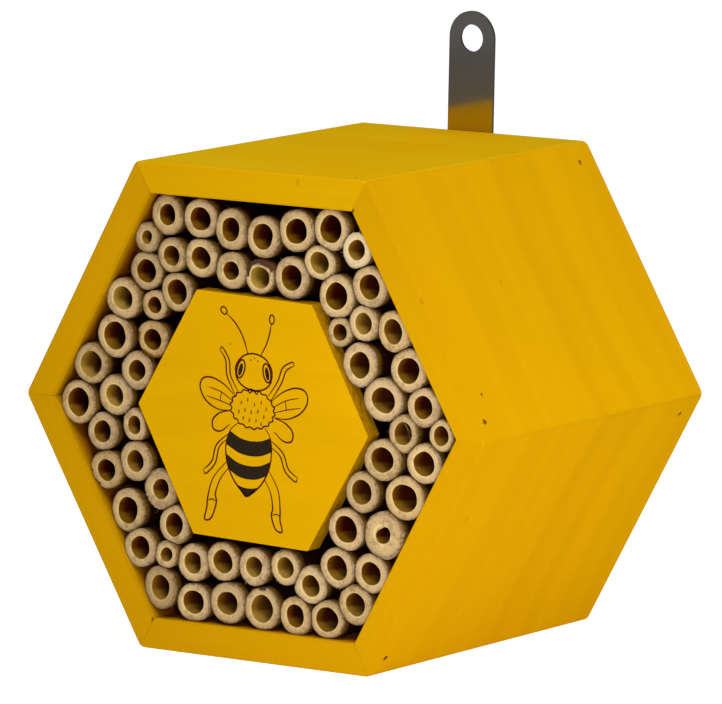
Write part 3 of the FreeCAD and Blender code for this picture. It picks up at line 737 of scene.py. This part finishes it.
def add_canes():
    finishes = [skin_material(), cut_material(), bore_material()]
    canes = [(node, fact) for node in CANE_NODES for fact in wall_facts(node)]
    facts = [fact for _, fact in canes]
    names = ("rim", "depth", "litter", "scar", "tone", "bore_tone", "hue")
    for node in CANE_NODES:
        points, sides, kinds = [], [], []
        values = {name: [] for name in names}
        for number, (owner, fact) in enumerate(canes, 1):
            if owner != node:
                continue
            dice = random.Random(CANE_SEED + number)
            look = LOOKS[number]
            tones = dict(tone=look.get("tone", dice.uniform(-0.05, 0.25)),
                         bore_tone=look.get("bore", dice.uniform(0.0, 0.15)),
                         hue=look.get("hue", dice.uniform(-0.2, 0.3)))
            *body, rim = cane_parts(fact, facts, dice, look)
            shells = [body]
            for strand_points, strand_sides in strands(fact, rim, look, dice):
                count = len(strand_points)
                none = [0.0] * count
                facts_of = dict(rim=[dice.choice((0.3, 0.75))] * count, depth=none, litter=none, scar=none)
                shells.append((strand_points, strand_sides, [CUT] * len(strand_sides), facts_of))
            for shell_points, shell_sides, shell_kinds, facts_of in shells:
                first = len(points)
                points += shell_points
                sides += [tuple(first + k for k in side) for side in shell_sides]
                kinds += shell_kinds
                facts_of.update({name: [value] * len(shell_points) for name, value in tones.items()})
                for name in names:
                    values[name] += facts_of[name]
        piece = new_piece(node + "_detailed", points, sides, finishes, kinds)
        for name in names:
            set_values(piece, name, values[name])
        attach(piece, "root")
        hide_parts(node)


# ---- printed bee ----
INK_LIFT = 0.03 * MM
INK_WIDTH = 0.56 * MM
PRINT_TURN = radians(3.0)      # the print is a little more crooked than the plate
OVAL_POINTS = 12
FUR_POINTS = 36


def through(controls, closed=False, steps=7):
    """A smooth line through the control points."""
    count = len(controls)
    points = []
    for k in range(count if closed else count - 1):
        if closed:
            p = [Vector(controls[(k + j) % count]) for j in (-1, 0, 1, 2)]
        else:
            p = [Vector(controls[min(max(k + j, 0), count - 1)]) for j in (-1, 0, 1, 2)]
        for step in range(steps):
            t = step / steps
            point = 2 * p[1] + (p[2] - p[0]) * t
            point += (2 * p[0] - 5 * p[1] + 4 * p[2] - p[3]) * t * t
            point += (3 * p[1] - p[0] - 3 * p[2] + p[3]) * t ** 3
            points.append(point / 2)
    if not closed:
        points.append(Vector(controls[-1]))
    return points


class Print:
    """Ink on the front of the centre plate, drawn in millimetres across and up from its middle."""

    def __init__(self):
        low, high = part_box("centre_plate")
        self.middle = Vector(((low.x + high.x) / 2, low.y, (low.z + high.z) / 2))
        self.vertices, self.faces, self.kinds = [], [], []

    def lay(self, left, right, kind, closed=False):
        """A flat strip of ink between two lines of points, with its own thickness."""
        first = len(self.vertices)
        for pair in zip(left, right):
            for lift in (-INK_LIFT, 0.25 * INK_LIFT):
                for u, v in pair:
                    x = u * cos(PRINT_TURN) + v * sin(PRINT_TURN)
                    z = v * cos(PRINT_TURN) - u * sin(PRINT_TURN)
                    self.vertices.append(self.middle + Vector((x * MM, lift, z * MM)))
        count = len(left)
        for k in range(count if closed else count - 1):
            a, b = first + 4 * k, first + 4 * ((k + 1) % count)
            for p, q in ((0, 1), (1, 3), (3, 2), (2, 0)):
                self.faces.append((a + p, a + q, b + q, b + p))
        if not closed:
            last = first + 4 * (count - 1)
            self.faces.append((first, first + 2, first + 3, first + 1))
            self.faces.append((last, last + 1, last + 3, last + 2))
        self.kinds += [kind] * (len(self.faces) - len(self.kinds))

    def line(self, controls, closed=False, width=1.0, taper=True):
        points = through(controls, closed)
        left, right = [], []
        count = len(points)
        for k, point in enumerate(points):
            before = points[k - 1] if k or closed else point
            after = points[(k + 1) % count] if k < count - 1 or closed else point
            along = (after - before).normalized()
            half = INK_WIDTH / MM * width / 2
            if taper and not closed:
                half *= 0.45 + 0.55 * min(1, 4 * min(k, count - 1 - k) / count)
            side = Vector((-along.y, along.x)) * half
            left.append(point + side)
            right.append(point - side)
        self.lay(left, right, 0, closed)

    def lines(self, width, *strokes):
        for stroke in strokes:
            self.line(stroke, width=width)

    def band(self, upper, lower):
        """A filled stripe between two smooth lines with the same number of controls."""
        self.lay(through(upper), through(lower), 1)

    def oval(self, u, v, wide, tall, turn=0.0, width=1.0, filled=False):
        """An oval drawn as a line, or filled as one stripe from its top to its bottom."""
        ring = []
        for k in range(OVAL_POINTS):
            a = 2 * pi * k / OVAL_POINTS
            x, z = wide / 2 * cos(a), tall / 2 * sin(a)
            t = radians(turn)
            ring.append((u + x * cos(t) - z * sin(t), v + x * sin(t) + z * cos(t)))
        if filled:
            left, right = ring[3:10], [ring[k % OVAL_POINTS] for k in range(15, 8, -1)]
            self.lay(through(left), through(right), 1)
        else:
            self.line(ring, True, width)


def ink_material(name, colour, ink_wear_and_edge_shade):
    g = Graph(name)
    at = g.place()
    patch = g.noise(at, 900.0, 3.0, 0.6)
    shade = g.mix(g.remap(patch, 0.5, 0.75, 0.0, 0.5), (*colour, 1), (*ink_wear_and_edge_shade, 1))
    return g.finish(colour=shade, rough=g.remap(patch, 0.3, 0.7, 0.5, 0.7), specular=0.0,
                    normal=g.bump(patch, 0.00002, 0.4))


def draw_bee():
    """A plain honeybee seen from above."""
    ink = Print()
    # feelers
    ink.line([(-2.6, 20.6), (-4.4, 25.2), (-7.6, 29.6), (-11.4, 32.4)], width=0.9)
    ink.oval(-12.5, 33.2, 2.0, 2.6, 55, 0.9)
    ink.line([(2.4, 20.8), (4.4, 24.4), (5.6, 28.2), (6.1, 31.2)], width=0.9)
    ink.oval(6.3, 32.8, 1.8, 2.9, 0, 0.9)
    # head, eyes and jaws
    ink.line([(-4.6, 19.6), (-1.6, 20.9), (1.6, 20.9), (4.8, 19.6), (7.0, 16.4), (6.6, 12.6), (4.0, 10.2),
              (0.1, 9.4), (-3.9, 10.2), (-6.6, 12.6), (-7.0, 16.4)], True)
    for side in (-1, 1):
        ink.oval(5.1 * side, 15.6, 2.9, 6.0, 14 * side)
        ink.oval(5.2 * side, 15.4, 1.5, 4.2, 14 * side, filled=True)
    for u in (-1.3, 0.1, 1.5):
        ink.oval(u, 18.9 + (0.7 if u == 0.1 else 0), 0.5, 0.5, filled=True)
    ink.line([(-2.0, 9.8), (-1.4, 8.4), (0.0, 9.3), (1.5, 8.4), (2.1, 9.8)], width=0.8)
    # furry thorax
    fur = []
    for k in range(FUR_POINTS):
        a = 2 * pi * (k + 0.5) / FUR_POINTS
        reach = 1.0 + (0.055 if k % 2 else -0.03)
        fur.append((8.4 * reach * cos(a), 3.4 + 6.0 * reach * sin(a)))
    ink.line(fur, True, 0.9)
    for u, v in ((-4.6, 5.6), (-2.1, 6.8), (0.6, 5.6), (3.2, 6.6), (5.2, 4.8), (-5.4, 2.6), (-3.0, 3.4),
                 (-0.6, 3.0), (2.0, 3.6), (4.4, 2.2), (-3.6, 0.8), (-1.2, 0.4), (1.4, 0.6), (3.4, -0.2)):
        ink.line([(u, v), (u + 0.15, v - 0.6), (u - 0.05, v - 1.25)], width=0.7)
    # wings
    ink.lines(1.0, [(-6.8, 6.6), (-11.5, 9.8), (-16.2, 11.3), (-19.8, 10.6), (-20.8, 7.6), (-18.4, 3.8),
                    (-13.6, 1.6), (-8.4, 1.9)],
              [(-8.9, 1.7), (-12.6, 0.6), (-15.4, -2.0), (-15.0, -4.9), (-12.0, -5.2), (-8.8, -2.6)],
              [(6.8, 6.6), (11.5, 10.4), (16.4, 12.4), (20.2, 11.8), (21.2, 8.6), (18.8, 4.8), (13.8, 2.2),
               (8.4, 1.9)],
              [(8.9, 1.7), (12.8, 0.8), (15.8, -1.6), (15.6, -4.6), (12.4, -5.0), (8.8, -2.6)])
    ink.lines(0.6, [(-7.6, 4.8), (-12.4, 7.2), (-17.4, 8.2)], [(-8.2, 3.4), (-12.8, 4.4), (-18.2, 5.2)],
              [(-12.4, 7.2), (-12.8, 4.4)], [(7.6, 4.8), (12.6, 7.8), (17.8, 9.4)],
              [(8.2, 3.4), (13.2, 5.0), (18.6, 6.4)], [(12.6, 7.8), (13.2, 5.0)])
    # striped body
    ink.line([(-5.6, -1.8), (-8.4, -4.4), (-9.9, -9.2), (-9.3, -14.6), (-6.6, -19.8), (-2.9, -23.4),
              (-1.4, -24.6), (0.6, -23.6), (4.6, -19.8), (7.2, -14.6), (8.0, -9.2), (7.2, -4.6), (5.0, -1.9)])
    ink.band([(-8.5, -4.6), (-4.6, -6.3), (-0.6, -6.8), (3.6, -6.3), (7.2, -4.8)],
             [(-9.9, -9.0), (-5.2, -11.0), (-0.8, -11.6), (3.9, -11.0), (8.0, -9.2)])
    ink.band([(-9.8, -12.0), (-5.4, -14.2), (-1.0, -14.8), (3.6, -14.2), (7.8, -12.2)],
             [(-8.3, -17.0), (-5.0, -18.6), (-1.2, -19.1), (2.8, -18.6), (6.2, -17.0)])
    ink.band([(-5.6, -21.1), (-3.4, -21.8), (-1.3, -22.0), (1.0, -21.8), (3.3, -21.1)],
             [(-3.0, -23.4), (-2.2, -24.2), (-1.4, -24.8), (-0.4, -24.2), (0.8, -23.5)])
    # legs, three on each side
    ink.lines(0.9, [(-7.2, 7.4), (-10.4, 12.6), (-11.2, 17.6), (-13.6, 20.6)],
              [(-6.0, 8.4), (-9.0, 13.0), (-9.8, 17.8), (-12.6, 21.4), (-13.6, 20.6)],
              [(7.2, 7.4), (10.8, 13.0), (12.6, 17.4), (15.6, 19.4)],
              [(6.0, 8.4), (9.4, 13.6), (11.2, 18.2), (14.8, 20.4), (15.6, 19.4)],
              [(-9.0, -5.6), (-13.6, -9.8), (-15.2, -15.2), (-18.4, -18.4)],
              [(-9.8, -7.6), (-12.6, -10.6), (-13.9, -15.8), (-17.4, -19.6), (-18.4, -18.4)],
              [(7.6, -5.6), (12.4, -8.8), (14.8, -13.6), (18.4, -15.8)],
              [(8.0, -7.8), (11.4, -10.0), (13.6, -14.6), (17.6, -17.2), (18.4, -15.8)])
    ink.lines(1.0, [(-8.6, -16.6), (-11.6, -20.4), (-13.4, -25.4), (-12.9, -28.2), (-14.7, -33.4),
                    (-17.3, -34.2), (-16.6, -30.2), (-16.2, -26.2), (-14.4, -20.4), (-9.4, -14.6)],
              [(5.6, -18.2), (8.0, -21.8), (9.2, -26.6), (8.8, -29.4), (10.6, -33.4), (13.2, -33.8),
               (12.2, -30.2), (12.1, -26.8), (11.0, -20.8), (7.2, -15.2)])
    ink.lines(0.7, [(-13.0, -28.0), (-14.6, -27.4), (-16.2, -28.0)],
              [(9.0, -29.2), (10.6, -28.6), (12.2, -29.0)])
    finishes = [ink_material("ink_brown", (0.070, 0.010, 0.0006), (0.13, 0.030, 0.001)),
                ink_material("ink_black", (0.022, 0.014, 0.008), (0.045, 0.030, 0.014))]
    piece = new_piece("bee_print", ink.vertices, ink.faces, finishes, ink.kinds, False)
    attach(piece, "root")


# ---- steel and pine ----
def steel_material(name, colour, rough, scratch):
    g = Graph(name)
    at = g.place()
    lines = g.noise(g.stretch(at, (1, 1, 0.03)), 2600.0, 2.0, 0.6)
    stain = g.noise(at, 160.0, 3.0, 0.6)
    stained = (colour[0] * 0.6, colour[1] * 0.56, colour[2] * 0.5, 1)
    shade = g.mix(g.remap(stain, 0.4, 0.75, 0.0, 0.35), (*colour, 1), stained)
    gloss = g.times_plus(lines, scratch, g.remap(stain, 0.3, 0.7, rough, rough * 1.5))
    return g.finish(colour=shade, rough=gloss, normal=g.bump(lines, 0.00002, 0.3), metal=1.0)


def strap_material():
    """The bright strap, with reflections painted into its colour: warmer lower down and lighter at the top;
    dull cut edges.
    """
    g = Graph("strap_steel", steel_material("strap_steel", (0.47, 0.44, 0.39), 0.06, 0.05))
    steel_and_reflection, gloss = g.fed("Base Color"), g.fed("Roughness")
    height = g.split(g.place(MIDDLE))[2]
    # painted reflections: warm yellow lower down, lighter near the top
    steel_and_reflection = g.mix(g.remap(height, 0.082, 0.110, 0.9, 0.0), steel_and_reflection, (0.50, 0.385, 0.24, 1))
    steel_and_reflection = g.mix(g.remap(height, 0.100, 0.112), steel_and_reflection, (0.60, 0.575, 0.53, 1))
    face = g.maths("ABSOLUTE", g.split(g.node("NewGeometry", {}).outputs["Normal"])[1])
    edge = g.remap(face, 0.35, 0.8, 1.0, 0.0)
    return g.finish(colour=g.mix(edge, steel_and_reflection, (0.09, 0.08, 0.07, 1)),
                    rough=g.maths("MAXIMUM", gloss, g.times(edge, 0.55)))


def brad_material():
    """Dull brads, with the ones in the top board painted over."""
    g = Graph("brad_steel", steel_material("brad_steel", (0.24, 0.14, 0.05), 0.4, 0.2))
    over = g.remap(g.split(g.place(MIDDLE))[2], 0.070, 0.072)
    colour = g.mix(over, g.fed("Base Color"), PAINT_LIGHT)
    return g.finish(colour=colour, metal=g.maths("SUBTRACT", 1.0, over))


def post_material():
    """Pine coloured nearly black as painted shade, so that the post does not show between the canes."""
    g = Graph("stained_pine")
    at = g.place(MIDDLE)
    rings = g.noise(g.stretch(at, (1, 0.06, 1)), 300.0, 2.0, 0.6, 0.6)
    colour = g.ramp(rings, (0.3, (0.050, 0.010, 0.004)), (0.6, (0.030, 0.005, 0.002)),
                    (0.8, (0.016, 0.002, 0.001)))
    return g.finish(colour=colour, rough=0.7, normal=g.bump(rings, 0.0001, 0.5), specular=0.0)


def finish_metal():
    cover("hanger_strap", strap_material())
    zinc = steel_material("screw_zinc", (0.62, 0.62, 0.64), 0.25, 0.15)
    cover("hanger_screws", zinc)
    cover("post_screws", zinc)
    cover("frame_brads", brad_material())
    cover("centre_post", post_material())


# ---- floor and light ----
FLOOR_REACH = 7.0
FLOOR_CELLS = 12
FLOOR_TONE = 0.55
FLOOR_GLOW = 0.54           # its own light, up to FLOOR_NEAR from the middle along FLOOR_HEADING
FLOOR_GLOW_FAR = 0.0        # and past FLOOR_FAR
FLOOR_NEAR = 0.35
FLOOR_FAR = 0.9
FLOOR_HEADING = (-0.59, -0.80, 0)   # to the front left
FLOOR_SEEN = 0.93           # how bright the camera sees the floor and the background
SKY = 0.20
# name, place, size, power in watts
LIGHTS = [
    ("above", (0.1, 0.0, 1.1), 0.9, 6.3),
    ("near", (0.25, -0.33, 0.11), 0.1, 0.525),
    ("steep", (0.20, -0.42, 0.62), 0.15, 1.8),
    ("right", (0.95, 0, 0.10), 0.15, 2.35),
]


def add_floor():
    cells = FLOOR_CELLS
    vertices, faces = [], []
    for j in range(cells + 1):
        for k in range(cells + 1):
            vertices.append((FLOOR_REACH * (2 * k / cells - 1), FLOOR_REACH * (2 * j / cells - 1), 0))
    for j in range(cells):
        for k in range(cells):
            a = j * (cells + 1) + k
            faces.append((a, a + 1, a + cells + 2, a + cells + 1))
    g = Graph("floor_white")
    floor = new_piece("floor", vertices, faces, [g.material], smooth_faces=False)
    far = g.node("VectorMath", {0: g.node("TexCoord", {}).outputs["Object"], 1: FLOOR_HEADING},
                 operation="DOT_PRODUCT").outputs["Value"]
    glow = g.remap(far, FLOOR_NEAR, FLOOR_FAR, FLOOR_GLOW, FLOOR_GLOW_FAR)
    g.finish(colour=(*[FLOOR_TONE] * 3, 1), rough=0.9, specular=0.0)
    g.feed(g.shader.inputs["Emission Color"], (1, 1, 1, 1))
    seen = g.times(g.node("LightPath", {}).outputs["Is Camera Ray"], FLOOR_SEEN)
    g.feed(g.shader.inputs["Emission Strength"], g.maths("MAXIMUM", glow, seen))


def add_lights():
    for name, place, size, power in LIGHTS:
        data = bpy.data.lights.new(name, "AREA")
        data.shape = "SQUARE"
        data.size = size
        data.energy = power
        lamp = bpy.data.objects.new(name, data)
        lamp.location = place
        lamp.rotation_euler = (MIDDLE - Vector(place)).to_track_quat("-Z", "Y").to_euler()
        lamp.visible_camera = False
        bpy.context.scene.collection.objects.link(lamp)
    world = bpy.data.worlds.new("studio")
    world.use_nodes = True
    nodes = world.node_tree.nodes
    nodes["Background"].inputs[0].default_value = (1, 1, 1, 1)
    level = nodes.new("ShaderNodeMath")
    level.operation = "MULTIPLY_ADD"
    level.inputs[1].default_value = FLOOR_SEEN - SKY
    level.inputs[2].default_value = SKY
    world.node_tree.links.new(nodes.new("ShaderNodeLightPath").outputs["Is Camera Ray"], level.inputs[0])
    world.node_tree.links.new(level.outputs[0], nodes["Background"].inputs[1])
    bpy.context.scene.world = world


add_camera()
add_floor()
add_lights()
finish_boards()
add_canes()
draw_bee()
finish_metal()
bpy.context.scene.view_settings.view_transform = "Standard"
